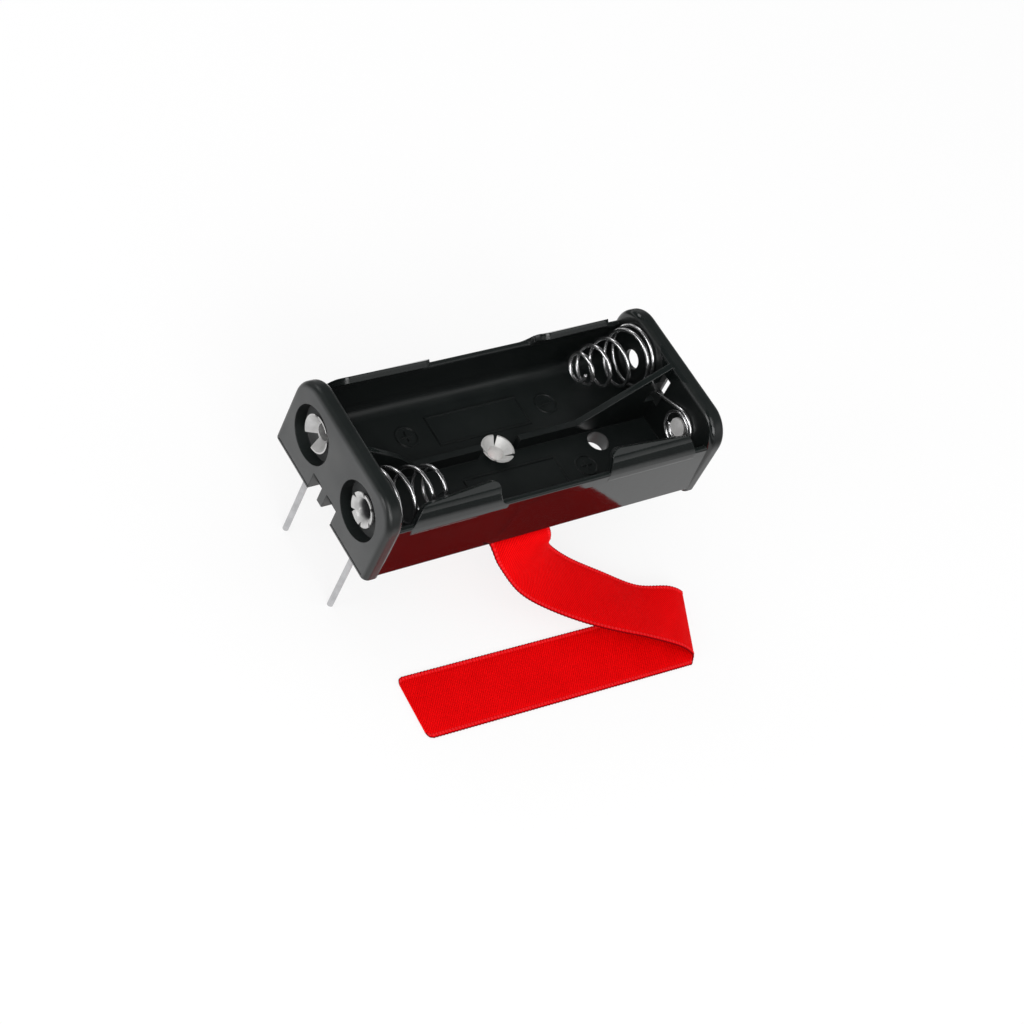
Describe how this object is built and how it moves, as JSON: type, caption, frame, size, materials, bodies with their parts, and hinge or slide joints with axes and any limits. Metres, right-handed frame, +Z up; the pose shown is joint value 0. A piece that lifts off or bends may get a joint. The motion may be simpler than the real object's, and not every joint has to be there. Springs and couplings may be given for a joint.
{
  "type": "two-cell battery holder",
  "caption": "Board-mount holder for AAA cells: open tray with snap lips and divider, conical spring contacts, split eyelets, long solder leads and a lift ribbon.",
  "frame": {"origin": "centre of the tray's footprint on the board plane, the plane the feet of both end plates stand on", "axes": "+X along the cells from the lead end to the linked end, +Y towards the back bay, +Z up, out of the board"},
  "size_m": [0.0544, 0.0432, 0.0272],
  "materials": {
    "tray": "moulded black, satin outside and shinier on the long walls",
    "spring": "nickel-plated spring wire",
    "eyelet": "nickel-plated sheet",
    "lead": "tinned wire",
    "ribbon": "woven twill with firm selvedges"
  },
  "bodies": {
    "root": {"tray": "tray", "front_spring": "spring", "link_spring": "spring", "front_eyelet": "eyelet", "back_eyelet": "eyelet", "button_eyelet": "eyelet", "lift_rivet": "eyelet", "front_lead": "lead", "back_lead": "lead", "ribbon": "ribbon"}
  },
  "joints": []
}
